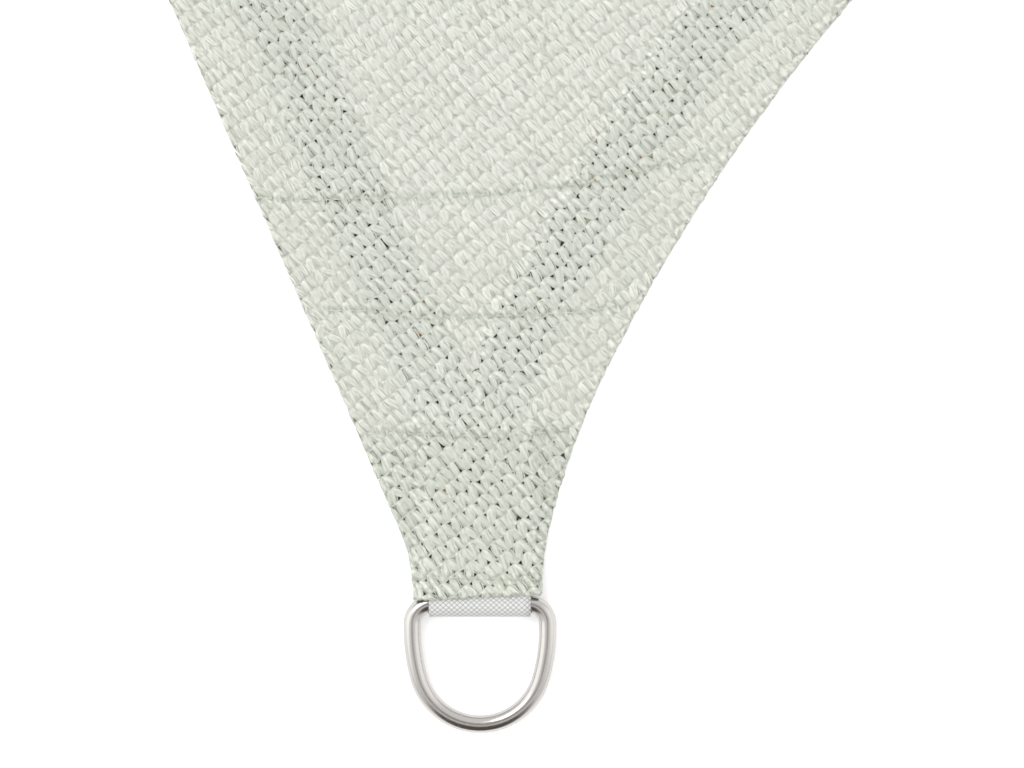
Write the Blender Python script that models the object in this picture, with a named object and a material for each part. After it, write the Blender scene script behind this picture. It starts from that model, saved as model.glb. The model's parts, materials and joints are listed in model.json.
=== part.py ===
"""Square shade sail of knitted cloth, laid out flat, with a webbing tab and a D-ring at each corner.

Metres, +Z up. The origin is on the floor under the middle of the sail, whose sides run along X and Y.
Each corner narrows to a tail. Corner 0 is at -X, -Y, and each next one is a quarter turn further round.
In a corner's own frame X runs up the tail towards the middle of the sail, Y across it to the left,
and the tail ends at X = 0.
"""

import math

import bmesh
import bpy
from mathutils import Matrix, Vector
from mathutils.geometry import delaunay_2d_cdt, interpolate_bezier

CORNERS = 4

# Sail
RING_TO_RING = 2.0  # between the outer ends of two neighbouring rings
TAIL_HEADING = math.radians(51.5)  # of corner 0's tail, from +X
LAYER = 0.0012  # one layer of the cloth
HEM = 0.042  # turned over along every side
HEM_SLOPE = 0.0025  # width over which the hem drops to the single layer
GAP = 0.0003

# Tail's end and the edges that leave it: each row is one stretch of the edge.
END_LEFT = Vector((0.0, 0.0224))
END_RIGHT = Vector((0.0020, -0.0211))
LEFT_START = math.radians(5.0)
RIGHT_START = math.radians(-2.5)
EDGE_COLUMNS = ("run", "turn_degrees", "pieces")
LEFT_EDGE = (
    (0.006, 0.0, 1),
    (0.018, 18.5, 3),
    (0.185, 0.0, 9),
)
RIGHT_EDGE = (
    (0.006, 0.0, 1),
    (0.014, -10.0, 2),
    (0.060, -14.0, 4),
    (0.150, -14.0, 8),
)
SIDE_PIECES = 26
SIDE_FULLNESS = 0.35  # handle length as a share of the side's chord

# Tail's thickness over the webbing
FLAP = 0.020  # the lower layer stops this far from the end, and the upper one goes on over the bar
FLAP_STEP = 0.0006
TAB_REACH = 0.058  # the webbing's ends, inside the tail
TAB_FADE = 0.068  # where the tail is back at the hem's height
TAIL_SIDE_TOP = 0.0091  # upper side of the cloth's edge at the tail's end
TAIL_ROLL = 0.0040  # width over which the tail slopes off beside the webbing
STATIONS = (0.004, 0.008, 0.012, 0.016, FLAP)  # sections of the flap

# Webbing
WEBBING_WIDTH = 0.0344
WEBBING = 0.0011
WEBBING_ROUND_PIECES = 12
POCKET_WIDTH = WEBBING_WIDTH + 0.0008
CREST = POCKET_WIDTH / 2 + GAP  # half the width that the tail keeps at its full height

# D-ring of round wire, bent in one plane: a straight bar, two shoulders and a bow
WIRE = 0.006
WIRE_SIDES = 12
BAR = 0.032  # straight length between the shoulders
BAR_AT = -0.001  # the bar's middle in a corner's frame
BAR_CLEARANCE = 0.0004
BOW_DEPTH = 0.0412  # from the bar's middle to the bow's
BEND_COLUMNS = ("run", "radius", "turn_degrees", "pieces")
BAR_TO_BOW = (
    (BAR / 2, 0.0, 0.0, 1),
    (0.0, 0.0070, 90.0, 5),
    (0.0020, 0.0, 0.0, 1),
    (0.0, 0.0604, 16.0, 3),
)
BOW = (0.0, 0.0215, 148.0, 15)

# Low swells where the cloth doesn't lie quite down
SWELL_COLUMNS = ("x", "y", "heading_degrees", "half_length", "half_width", "height")
SWELLS = (
    (0.10, 0.12, 38.0, 0.62, 0.24, 0.0110),
    (-0.34, 0.42, 20.0, 0.46, 0.20, 0.0080),
    (0.46, -0.30, 55.0, 0.44, 0.20, 0.0090),
    (0.36, 0.58, -15.0, 0.40, 0.19, 0.0070),
    (-0.52, -0.06, 75.0, 0.34, 0.18, 0.0060),
)
LATTICE = 0.095  # spacing of the points inside the sail

# Heights that follow from the sizes above
POCKET_FLOOR = LAYER
POCKET_HEIGHT = 2 * WEBBING + 3 * GAP
TAB_TOP = POCKET_FLOOR + POCKET_HEIGHT + LAYER
HEM_TOP = 2 * LAYER
BAR_HEIGHT = WIRE / 2 + BAR_CLEARANCE + WEBBING
TAIL_MIDDLE_TOP = 2 * BAR_HEIGHT + GAP + LAYER


def material(name, colour, roughness, metallic=0.0):
    made = bpy.data.materials.new(name)
    made.use_nodes = True
    shader = made.node_tree.nodes["Principled BSDF"]
    shader.inputs["Base Color"].default_value = (*colour, 1.0)
    shader.inputs["Roughness"].default_value = roughness
    shader.inputs["Metallic"].default_value = metallic
    return made


def object_of(name, mesh, finish):
    made = bpy.data.objects.new(name, mesh)
    bpy.context.collection.objects.link(made)
    if finish:
        mesh.materials.append(finish)
    return made


def ease(share):
    """0 to 1, level at both ends."""
    share = min(max(share, 0.0), 1.0)
    return share * share * (3 - 2 * share)


def corner_frame(corner):
    """From a corner's own frame to the sail's."""
    middle_to_ring = RING_TO_RING / 2
    tail_to_ring = BOW_DEPTH + WIRE / 2 - BAR_AT
    ring_end = Vector((-middle_to_ring, -middle_to_ring, 0.0))
    tail_end = ring_end + Matrix.Rotation(TAIL_HEADING, 3, "Z") @ Vector((tail_to_ring, 0.0, 0.0))
    first = Matrix.Translation(tail_end) @ Matrix.Rotation(TAIL_HEADING, 4, "Z")
    return Matrix.Rotation(corner * math.pi / 2, 4, "Z") @ first


def edge_from(start, heading, rows):
    """Points along a run of arcs and straights, and the heading at the far end."""
    points = [start.copy()]
    for run, turn_degrees, pieces in rows:
        step, turn = run / pieces, math.radians(turn_degrees) / pieces
        for _ in range(pieces):
            middle = heading + turn / 2
            points.append(points[-1] + step * Vector((math.cos(middle), math.sin(middle))))
            heading += turn
    return points, heading


def placed(frame, points):
    return [(frame @ Vector((*point, 0.0))).to_2d() for point in points]


def outline():
    """The sail's edge, once round with the cloth on the left."""
    loop = []
    left, left_heading = edge_from(END_LEFT, LEFT_START, LEFT_EDGE)
    right, right_heading = edge_from(END_RIGHT, RIGHT_START, RIGHT_EDGE)
    width = END_LEFT.y - END_RIGHT.y
    end = [END_LEFT.lerp(END_RIGHT, (END_LEFT.y - across) / width) for across in (CREST, 0.0, -CREST)]
    for corner in range(CORNERS):
        here, there = corner_frame(corner), corner_frame(corner + 1)
        leaving = placed(here, end + right)
        arriving = placed(there, left[::-1])
        out = here.to_3x3() @ Vector((math.cos(right_heading), math.sin(right_heading), 0.0))
        back = there.to_3x3() @ Vector((math.cos(left_heading), math.sin(left_heading), 0.0))
        handle = SIDE_FULLNESS * (arriving[0] - leaving[-1]).length
        side = interpolate_bezier(
            leaving[-1],
            leaving[-1] + handle * out.to_2d(),
            arriving[0] + handle * back.to_2d(),
            arriving[0],
            SIDE_PIECES + 1,
        )
        loop += leaving + [point.copy() for point in side[1:-1]] + arriving
    return loop


def edge_distance(point, loop):
    nearest = math.inf
    for i, end in enumerate(loop):
        along = end - loop[i - 1]
        share = (point - loop[i - 1]).dot(along) / along.length_squared
        foot = loop[i - 1] + min(max(share, 0.0), 1.0) * along
        nearest = min(nearest, (point - foot).length)
    return nearest


def inside(point, loop):
    crossings = 0
    for i, end in enumerate(loop):
        start = loop[i - 1]
        if (start.y > point.y) != (end.y > point.y):
            across = start.x + (point.y - start.y) / (end.y - start.y) * (end.x - start.x)
            crossings += across > point.x
    return crossings % 2 == 1


def inner_loop(loop, inset):
    """The outline moved in. Where two hems meet in a tail, the points that would cross are left out."""
    kept = []
    for i, point in enumerate(loop):
        along = (loop[(i + 1) % len(loop)] - loop[i - 1]).normalized()
        moved = point + inset * Vector((-along.y, along.x))
        if inside(moved, loop) and edge_distance(moved, loop) > 0.99 * inset:
            kept.append(moved)
    return kept


def tail_grid(frame, loop):
    """Rows of points over one tail's webbing, from its end upwards."""
    rows = []
    columns = (-CREST - TAIL_ROLL, -CREST, 0.0, CREST, CREST + TAIL_ROLL)
    for station in (*STATIONS, FLAP + FLAP_STEP, 0.039, TAB_REACH, TAB_FADE):
        row = placed(frame, [(station, column) for column in columns])
        rows.append([point for point in row if inside(point, loop) and edge_distance(point, loop) > 0.0012])
    return rows


def swell(point):
    """How far the cloth lies off the floor."""
    height = 0.0
    for x, y, heading_degrees, half_length, half_width, top in SWELLS:
        offset = Matrix.Rotation(-math.radians(heading_degrees), 2) @ (point - Vector((x, y)))
        along = max(0.0, 1 - (offset.x / half_length) ** 2)
        across = max(0.0, 1 - (offset.y / half_width) ** 2)
        height += top * along**2 * across**2
    return height


def tail_top(along, across):
    """Upper side of the cloth in a tail, from its middle over the webbing to its edges."""
    to_end = ease(1 - along / FLAP)
    fade = ease((TAB_FADE - along) / (TAB_FADE - TAB_REACH))
    middle = HEM_TOP + (TAB_TOP - HEM_TOP) * fade + (TAIL_MIDDLE_TOP - TAB_TOP) * to_end
    side = HEM_TOP + (TAIL_SIDE_TOP - HEM_TOP) * to_end
    inward = ease((CREST + TAIL_ROLL - abs(across)) / TAIL_ROLL)
    return side + (middle - side) * inward


def heights(point, loop, tails):
    """(lower, upper) side of the cloth at a point."""
    for tail in tails:
        along, across, _ = tail @ Vector((*point, 0.0))
        if along < TAB_FADE + GAP:
            upper = tail_top(along, across)
            return (upper - LAYER if along < FLAP + GAP else 0.0), upper
    edge = edge_distance(point, loop)
    lower = swell(point)
    hem = ease((HEM + HEM_SLOPE / 2 - edge) / HEM_SLOPE)
    return lower, lower + LAYER * (1 + hem)


def lattice(loop, clear):
    """Points all over the middle of the sail."""
    half = math.ceil(RING_TO_RING / 2 / LATTICE)
    points = []
    for row in range(-half, half + 1):
        for column in range(-half, half + 1):
            point = LATTICE * Vector((column + 0.5 * (row % 2), row))
            if inside(point, loop) and edge_distance(point, loop) > clear:
                points.append(point)
    return points


def sail_cloth(finish):
    loop = outline()
    points, edges = list(loop), []

    def chain(run, closed):
        first = len(points)
        points.extend(run)
        pairs = range(0 if closed else 1, len(run))
        edges.extend((first + (i - 1) % len(run), first + i) for i in pairs)

    for inset in (HEM - HEM_SLOPE / 2, HEM + HEM_SLOPE / 2):
        chain(inner_loop(loop, inset), True)
    for corner in range(CORNERS):
        for row in tail_grid(corner_frame(corner), loop):
            chain(row, False)
    chain(lattice(loop, HEM + LATTICE / 2), False)
    edges = [pair for pair in edges if (points[pair[0]] - points[pair[1]]).length < 2 * LATTICE]
    flat = delaunay_2d_cdt(points, edges, [list(range(len(loop)))], 1, 1e-6)

    bm = bmesh.new()
    verts = [bm.verts.new((*point, 0.0)) for point in flat[0]]
    for face in flat[2]:
        bm.faces.new([verts[i] for i in face])
    raised = bmesh.ops.extrude_face_region(bm, geom=bm.faces[:])["geom"]
    upper = {vert for vert in raised if isinstance(vert, bmesh.types.BMVert)}
    tails = [corner_frame(corner).inverted() for corner in range(CORNERS)]
    for vert in bm.verts:
        vert.co.z = heights(vert.co.to_2d(), loop, tails)[vert in upper]
    bmesh.ops.recalc_face_normals(bm, faces=bm.faces)
    mesh = bpy.data.meshes.new("sail_cloth")
    bm.to_mesh(mesh)
    bm.free()
    cloth = object_of("sail_cloth", mesh, finish)
    cut = cloth.modifiers.new("pockets", "BOOLEAN")
    cut.operation = "DIFFERENCE"
    cut.object = pocket_cutter()
    return cloth


def pocket_cutter():
    """A flat slot up the inside of each tail."""
    bm = bmesh.new()
    start, end = FLAP - GAP, TAB_REACH + GAP
    size = Matrix.Diagonal((end - start, POCKET_WIDTH, POCKET_HEIGHT, 1.0))
    middle = Matrix.Translation(((start + end) / 2, 0.0, POCKET_FLOOR + POCKET_HEIGHT / 2))
    for corner in range(CORNERS):
        bmesh.ops.create_cube(bm, size=1.0, matrix=corner_frame(corner) @ middle @ size)
    mesh = bpy.data.meshes.new("pocket_cutter")
    bm.to_mesh(mesh)
    bm.free()
    cutter = object_of("pocket_cutter", mesh, None)
    cutter.hide_render = True
    cutter.display_type = "WIRE"
    return cutter


def tab_route():
    """The webbing's middle line from the lower end, round the bar and back over it, as (along, height)."""
    radius = WIRE / 2 + BAR_CLEARANCE + WEBBING / 2
    lower = POCKET_FLOOR + GAP + WEBBING / 2
    on_floor = WEBBING / 2
    lift_from, lift_to, lift_pieces = 0.007, FLAP - 0.001, 5
    route = [(TAB_REACH, lower), (FLAP + 0.001, lower)]
    for i in range(lift_pieces + 1):
        share = i / lift_pieces
        along = lift_to + share * (lift_from - lift_to)
        route.append((along, lower + ease(share) * (on_floor - lower)))
    for i in range(WEBBING_ROUND_PIECES + 1):
        turn = -math.pi / 2 - math.pi * i / WEBBING_ROUND_PIECES
        route.append((BAR_AT + radius * math.cos(turn), BAR_HEIGHT + radius * math.sin(turn)))
    under_cloth = LAYER + GAP + WEBBING / 2
    for station in (0.0, *STATIONS, TAB_REACH):
        route.append((station, tail_top(station, 0.0) - under_cloth))
    return route


def webbing_tab(corner, finish):
    bm = bmesh.new()
    half = WEBBING_WIDTH / 2
    verts = [bm.verts.new((along, -half, height)) for along, height in tab_route()]
    edges = [bm.edges.new(pair) for pair in zip(verts, verts[1:])]
    across = bmesh.ops.extrude_edge_only(bm, edges=edges)["geom"]
    moved = [vert for vert in across if isinstance(vert, bmesh.types.BMVert)]
    bmesh.ops.translate(bm, verts=moved, vec=(0.0, WEBBING_WIDTH, 0.0))
    bmesh.ops.recalc_face_normals(bm, faces=bm.faces)
    mesh = bpy.data.meshes.new(f"webbing_tab_{corner}")
    bm.to_mesh(mesh)
    bm.free()
    tab = object_of(f"webbing_tab_{corner}", mesh, finish)
    tab.matrix_world = corner_frame(corner)
    wall = tab.modifiers.new("thickness", "SOLIDIFY")
    wall.thickness = WEBBING
    wall.offset = 0.0
    wall.use_even_offset = True
    return tab


def ring_mesh(finish):
    """The wire, bent round from the middle of the bar and closed on itself, in the plane Z = 0."""
    bm = bmesh.new()
    facing = Matrix.Rotation(math.pi / 2, 4, "Y") @ Matrix.Rotation(math.pi / WIRE_SIDES, 4, "Z")
    section = bmesh.ops.create_circle(bm, segments=WIRE_SIDES, radius=WIRE / 2, matrix=facing)["verts"]
    edges = list({edge for vert in section for edge in vert.link_edges})
    place, heading = Vector((0.0, 0.0, 0.0)), 0.0
    for run, radius, turn_degrees, pieces in (*BAR_TO_BOW, BOW, *BAR_TO_BOW[::-1]):
        ahead = Vector((math.cos(heading), math.sin(heading), 0.0))
        if run:
            made = bmesh.ops.extrude_edge_only(bm, edges=edges)["geom"]
            moved = [item for item in made if isinstance(item, bmesh.types.BMVert)]
            bmesh.ops.translate(bm, verts=moved, vec=run * ahead)
            place += run * ahead
        else:
            turn = math.radians(turn_degrees)
            centre = place + radius * Vector((-ahead.y, ahead.x, 0.0))
            made = bmesh.ops.spin(bm, geom=edges, cent=centre, axis=(0, 0, 1), angle=turn, steps=pieces)
            made = made["geom_last"]
            place = centre + Matrix.Rotation(turn, 3, "Z") @ (place - centre)
            heading += turn
        edges = [item for item in made if isinstance(item, bmesh.types.BMEdge)]
    bmesh.ops.remove_doubles(bm, verts=bm.verts, dist=2e-5)
    bmesh.ops.recalc_face_normals(bm, faces=bm.faces)
    mesh = bpy.data.meshes.new("d_ring")
    bm.to_mesh(mesh)
    bm.free()
    mesh.materials.append(finish)
    mesh.shade_smooth()
    return mesh


def d_ring(corner, mesh):
    """The bar inside the webbing, and the bow resting on the floor."""
    ring = object_of(f"d_ring_{corner}", mesh, None)
    droop = math.asin((BAR_HEIGHT - WIRE / 2) / BOW_DEPTH)
    lie = Matrix.Translation((BAR_AT, 0.0, BAR_HEIGHT)) @ Matrix.Rotation(-droop, 4, "Y")
    ring.matrix_world = corner_frame(corner) @ lie @ Matrix.Rotation(math.pi / 2, 4, "Z")
    return ring


def main():
    for leftover in list(bpy.data.objects):
        bpy.data.objects.remove(leftover)
    cloth_finish = material("knitted_cloth", (0.70, 0.72, 0.65), 0.75)
    webbing_finish = material("white_webbing", (0.76, 0.76, 0.74), 0.8)
    ring_finish = material("stainless_wire", (0.62, 0.60, 0.57), 0.22, 1.0)
    sail_cloth(cloth_finish)
    wire = ring_mesh(ring_finish)
    for corner in range(CORNERS):
        webbing_tab(corner, webbing_finish)
        d_ring(corner, wire)


main()
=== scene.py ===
"""The looks of the shade sail: knitted cloth, sewn lines, webbing tabs and D-rings, laid on a floor."""

import json
import math

import bmesh
import bpy
import numpy as np
from mathutils import Matrix, Vector
from mathutils.bvhtree import BVHTree

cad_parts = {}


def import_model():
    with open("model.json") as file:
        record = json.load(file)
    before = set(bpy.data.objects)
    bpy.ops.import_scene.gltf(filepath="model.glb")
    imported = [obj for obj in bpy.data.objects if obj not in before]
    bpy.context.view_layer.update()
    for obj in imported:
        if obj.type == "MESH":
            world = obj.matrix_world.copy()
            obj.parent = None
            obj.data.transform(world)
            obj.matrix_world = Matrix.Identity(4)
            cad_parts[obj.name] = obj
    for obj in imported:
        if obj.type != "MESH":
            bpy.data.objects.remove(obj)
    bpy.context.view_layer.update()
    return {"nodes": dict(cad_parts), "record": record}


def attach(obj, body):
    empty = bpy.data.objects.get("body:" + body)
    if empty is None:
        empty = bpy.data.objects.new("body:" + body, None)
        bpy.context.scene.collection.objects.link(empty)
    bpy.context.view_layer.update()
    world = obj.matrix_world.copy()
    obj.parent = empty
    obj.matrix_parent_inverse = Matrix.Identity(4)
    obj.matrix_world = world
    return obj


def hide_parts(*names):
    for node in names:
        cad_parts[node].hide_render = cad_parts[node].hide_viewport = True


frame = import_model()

NODES = frame["nodes"]
CORNERS = 4
SEED = 41

# A corner's own frame: X up the tail from its end, Y across it to the left.
BOW_TO_TAIL = 0.03922  # from the inside of a ring's bow to the tail's end

# D-ring of round wire: a straight bar, two shoulders and a bow
WIRE = 0.006
WIRE_SIDES = 40
BAR_AT = -0.001  # the bar's middle in a corner's frame
BAR_HEIGHT = 0.0045
BOW_DEPTH = 0.0412  # from the bar's middle to the bow's
# Each bend is (run, radius, turn_degrees, pieces).
BAR_TO_BOW = (
    (0.016, 0.0, 0.0, 2),
    (0.0, 0.0070, 90.0, 14),
    (0.0020, 0.0, 0.0, 1),
    (0.0, 0.0604, 16.0, 9),
)
BOW = (0.0, 0.0215, 148.0, 44)

# Webbing tab, doubled round the bar and up into the tail
WEBBING_WIDTH = 0.0344
WEBBING = 0.0011
WEBBING_COLUMNS = 14
ROUND_BAR_PIECES = 24
BAR_CLEARANCE = 0.0004
CLOTH_OVER_TAB = 0.0015
TAB_REACH = 0.058
TAB_LIFT = (0.007, 0.019)  # the lower layer rises from the floor between these
CLOTH_FROM = 0.003  # the cloth's height is read no nearer to its end than this
WEAVE = 0.0019

# Knit: ribs run along X, and tapes cross from each rib to the next and back.
RIB_PITCH = 0.00504
COURSE = 0.00287
CROSS_LEAN = 0.00080  # how far a crossing moves along the ribs
TAPE_END = 0.00275  # a tape's width at the ribs
TAPE_MIDDLE = 0.00335  # and half way across
TAPE_LOW = 0.00025
TAPE_HIGH = 0.00054
STRANDS = 7
VARIANTS = 10  # of each small shape
KNOT_SHARE = 0.8  # of the ribs' places for a knot that have one
STREAK_RATE = 3800.0  # streaks to the metre across a tape
EDGE_PUFF = 1.1  # how much further the yarns stand off round the cloth's edge
KNIT_REACH = 0.2200  # the yarns are modelled up to here in corner 0
KNIT_FADE = 0.0120  # and thin out over this last stretch
KNIT_HALVES = 0.62  # the share of that reach at which the tapes' meshes are parted
KNIT_CORNERS = ((-0.01, 0.03), (-0.01, -0.03), (0.23, 0.13), (0.23, -0.15))  # (along, across), round them all
KNIT_MARGIN = 0.01
KNIT_OVERHANG = 0.0022  # how far past the edge a crossing's middle may lie
YARN_DEPTH = 0.0008  # the backing lies this far below the cloth's upper side
FOLD_RADIUS = 0.0011  # of the cloth's turned edge
EDGE_INSET = 0.0004
BACKING_INSET = 0.0012

# How far the knit wanders in X and then in Y: a slow wave (size, rate, sway, sway_rate, start), a ripple
# (size, rate_x, rate_y, start), and whether the wave runs along Y.
WANDER = (
    ((0.0006, 41.0, 0.8, 23.0, 1.3), (0.00040, 97.0, 60.0, 0.0), True),
    ((0.0006, 37.0, 0.9, 29.0, 0.4), (0.00035, 119.0, -71.0, 2.0), False),
)

# Soft creases left from folding and handling: (x, y, heading, half_length, half_width, bend, height)
CREASES = (
    (-0.02, 0.31, 1.5, 0.52, 0.019, 0.00, 0.0034),
    (0.03, -0.33, -1.0, 0.48, 0.018, 0.00, 0.0030),
    (0.30, 0.02, 91.0, 0.46, 0.018, 0.00, 0.0036),
    (-0.31, -0.04, 88.5, 0.40, 0.020, 0.02, 0.0030),
    (0.12, 0.48, 31.0, 0.19, 0.022, 0.40, 0.0052),
    (-0.44, 0.30, -52.0, 0.22, 0.024, -0.35, 0.0058),
    (-0.12, 0.06, 24.0, 0.26, 0.026, 0.30, 0.0060),
    (0.46, -0.18, 68.0, 0.17, 0.021, -0.60, 0.0048),
    (0.42, 0.44, 49.0, 0.24, 0.023, 0.12, 0.0060),
    (0.10, -0.16, -18.0, 0.20, 0.025, -0.45, 0.0050),
    (-0.20, -0.50, 12.0, 0.16, 0.022, 0.50, 0.0046),
    (0.40, -0.46, -40.0, 0.22, 0.024, 0.20, 0.0055),
)
CREASE_FREE = (0.24, 0.34)  # the creases come in between these distances up each corner
SHEET_EDGE = 0.022  # the sheet's longer edges are split, so that it can follow them
SHEET_SPLITS = 3  # passes of that

# The tapes' meshes: (name, course parity, whether in the patch's upper half)
PIECES = (
    ("tapes_out_lower", 0, False),
    ("tapes_out_upper", 0, True),
    ("tapes_back_lower", 1, False),
    ("tapes_back_upper", 1, True),
)

# Sewn lines across a corner, each as (along, across) points from left to right.
SEWN_LINES = (
    (
        (0.1370, 0.0765),
        (0.1358, 0.0605),
        (0.1368, 0.0400),
        (0.1380, 0.0),
        (0.1415, -0.0330),
        (0.1510, -0.0780),
    ),
    (
        (0.0986, 0.0530),
        (0.0984, 0.0378),
        (0.0960, 0.0204),
        (0.0966, -0.0048),
        (0.0980, -0.0357),
        (0.1010, -0.0500),
    ),
    ((0.0565, 0.0380), (0.0565, 0.0190), (0.0558, 0.0034), (0.0558, -0.0126), (0.0580, -0.0300)),
    ((0.0082, 0.0215), (0.0078, 0.0), (0.0074, -0.0205)),
)
SEAM_FLATTENING = 0.85
SEAM_HALF_WIDTH = 0.0015
STITCH = 0.0034
STITCH_GAP = 0.0006
THREAD = 0.00042
STITCH_ARC = ((0.0, -0.0004), (0.2, 0.0001), (0.5, 0.0002), (0.8, 0.0001), (1.0, -0.0004))  # (share, rise)
STITCH_LIFT = 0.00012  # over the modelled yarns

# Colours of the cloth by how many layers lie there, and of what shows through its gaps
SINGLE = (0.700, 0.709, 0.645)
HEM_OUTER = (0.685, 0.695, 0.628)
HEM_INNER = (0.655, 0.675, 0.610)
TAIL = (0.650, 0.672, 0.600)
# GAP_DARK is painted shade: the black under the yarns in the holes of doubled cloth.
GAP_DARK = (0.022, 0.020, 0.010)
GAP_PALE = (0.600, 0.620, 0.540)
STREAK_PALE = (0.76, 0.76, 0.71)
# STREAK_DARK is partly the tapes' own streaky tone and partly painted shade between their strands; it also
# paints the shade along the sewn lines.
STREAK_DARK = (0.44, 0.48, 0.40)
CHAIN_PALE = (0.62, 0.63, 0.57)
# KNOT_PALE is partly a painted highlight: the near white stands for the glint on the rib's loops.
KNOT_PALE = (0.88, 0.88, 0.86)
# Painted shade: the next layer's yarns as they show, darkened, through the gaps of doubled cloth.
GAP_DOUBLED_SHADE = (0.30, 0.33, 0.25)
SHEET_SHADE = (0.40, 0.42, 0.36)  # between yarns that aren't modelled
# Painted shade: a brownish cast in the dark of the holes.
GAP_BROWN_SHADE = (0.28, 0.13, 0.04)

# Hem, as distances in from the cloth's edge: where it ends, and where it is doubled again
HEM_END = (0.0405, 0.0440)
HEM_DOUBLED = (0.0170, 0.0230)

# Camera: straight above the corner, the tail pointing down the picture.
PICTURE_WIDTH = 0.3483
PICTURE_MIDDLE = (0.0735, -0.0109)  # along, across
LENS = 100.0

# Studio
ROOM_STRENGTH = 1.28
ROOM_LIGHT = (0.82, 0.82, 0.82)
BOX_LIGHTS = ((1, (1.45, 1.45, 1.45)), (-1, (1.20, 1.20, 1.20)))  # (side, radiance)
OVERHEAD_DARK = (0.36, 0.35, 0.34)
ROOM_DARK = (0.10, 0.085, 0.075)
FLOOR_GLOW = 0.22
KEY_POWER = 0.9


def corner_frame(corner):
    """From a corner's own frame to the sail's, read from the ring's mount."""
    mount = next(m for m in frame["record"]["mounts"] if m["name"] == f"ring_{corner}_bow")
    axis = Vector(mount["axis"]).to_2d().normalized()
    end = Vector(mount["pos_m"]).to_2d() + BOW_TO_TAIL * axis
    heading = math.atan2(axis.y, axis.x)
    return Matrix.Translation((end.x, end.y, 0.0)) @ Matrix.Rotation(heading, 4, "Z")


FRAMES = [corner_frame(corner) for corner in range(CORNERS)]


# ---------------------------------------------------------------- materials


def new_material(name):
    made = bpy.data.materials.new(name)
    made.use_nodes = True
    return made, made.node_tree, made.node_tree.nodes["Principled BSDF"]


def add_math(tree, operation, first, second=None, third=None):
    node = tree.nodes.new("ShaderNodeMath")
    node.operation = operation
    for socket, value in zip(node.inputs, (first, second, third)):
        if isinstance(value, (int, float)):
            socket.default_value = value
        elif value is not None:
            tree.links.new(value, socket)
    return node.outputs[0]


def add_range(tree, value, low, high, out_low=0.0, out_high=1.0):
    """value between low and high as a smooth step from out_low to out_high."""
    node = tree.nodes.new("ShaderNodeMapRange")
    node.interpolation_type = "SMOOTHSTEP"
    tree.links.new(value, node.inputs["Value"])
    settings = {"From Min": low, "From Max": high, "To Min": out_low, "To Max": out_high}
    for name, setting in settings.items():
        node.inputs[name].default_value = setting
    return node.outputs["Result"]


def add_mix(tree, factor, first, second):
    """Colours mixed by a mask. Either colour is a socket or an (r, g, b)."""
    node = tree.nodes.new("ShaderNodeMix")
    node.data_type = "RGBA"
    colours = [s for s in node.inputs if s.type == "RGBA"]
    if isinstance(factor, (int, float)):
        node.inputs[0].default_value = factor
    else:
        tree.links.new(factor, node.inputs[0])
    for socket, value in zip(colours, (first, second)):
        if isinstance(value, tuple):
            socket.default_value = (*value, 1.0)
        else:
            tree.links.new(value, socket)
    return next(s for s in node.outputs if s.type == "RGBA")


def add_noise(tree, coordinates, scale, detail=2.0):
    node = tree.nodes.new("ShaderNodeTexNoise")
    node.inputs["Scale"].default_value = scale
    node.inputs["Detail"].default_value = detail
    tree.links.new(coordinates, node.inputs["Vector"])
    return node.outputs["Fac"]


def add_attribute(tree, name):
    node = tree.nodes.new("ShaderNodeAttribute")
    node.attribute_name = name
    return node.outputs["Fac"]


def new_group(name, inputs, outputs):
    """A shader node group with the named float or colour sockets, and its in and out nodes."""
    group = bpy.data.node_groups.new(name, "ShaderNodeTree")
    for label, kind in inputs:
        group.interface.new_socket(label, in_out="INPUT", socket_type=kind)
    for label, kind in outputs:
        group.interface.new_socket(label, in_out="OUTPUT", socket_type=kind)
    return group, group.nodes.new("NodeGroupInput"), group.nodes.new("NodeGroupOutput")


def place_group(tree, group, **values):
    node = tree.nodes.new("ShaderNodeGroup")
    node.node_tree = group
    for label, value in values.items():
        tree.links.new(value, node.inputs[label])
    return node.outputs


def zones_group():
    """The cloth's colour, and where it is doubled, from the distance to the edge and from the tail."""
    group, given, out = new_group(
        "cloth_zones",
        [("Edge", "NodeSocketFloat"), ("Tail", "NodeSocketFloat")],
        [("Colour", "NodeSocketColor"), ("Doubled", "NodeSocketFloat")],
    )
    edge, tail = given.outputs["Edge"], given.outputs["Tail"]
    in_hem = add_range(group, edge, *HEM_END, 1.0, 0.0)
    inner = add_math(group, "MULTIPLY", in_hem, add_range(group, edge, *HEM_DOUBLED))
    colour = add_mix(group, in_hem, SINGLE, HEM_OUTER)
    colour = add_mix(group, inner, colour, HEM_INNER)
    colour = add_mix(group, tail, colour, TAIL)
    group.links.new(colour, out.inputs["Colour"])
    group.links.new(add_math(group, "MAXIMUM", inner, tail), out.inputs["Doubled"])
    return group


def gaps_group():
    """What shows through the knit: the next layer's yarns, painted darker as shade where the cloth is
    doubled, and here and there painted black and brown shade in the holes under them.
    """
    group, given, out = new_group(
        "gap_colours",
        [("Place", "NodeSocketVector"), ("Doubled", "NodeSocketFloat")],
        [("Colour", "NodeSocketColor")],
    )
    place, doubled = given.outputs["Place"], given.outputs["Doubled"]
    layer = add_mix(group, add_range(group, doubled, 0.2, 0.8), GAP_PALE, GAP_DOUBLED_SHADE)
    # Painted shade: where the dark in the holes turns brownish.
    brown_shade = add_range(group, add_noise(group, place, 190.0, 1.0), 0.60, 0.70)
    dark = add_mix(group, brown_shade, GAP_DARK, GAP_BROWN_SHADE)
    # hole: where the painted black shade of a hole shows in doubled cloth.
    hole = add_range(group, add_noise(group, place, 520.0, 2.0), 0.47, 0.56)
    colour = add_mix(group, add_math(group, "MULTIPLY", hole, doubled), layer, dark)
    group.links.new(colour, out.inputs["Colour"])
    return group


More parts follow.
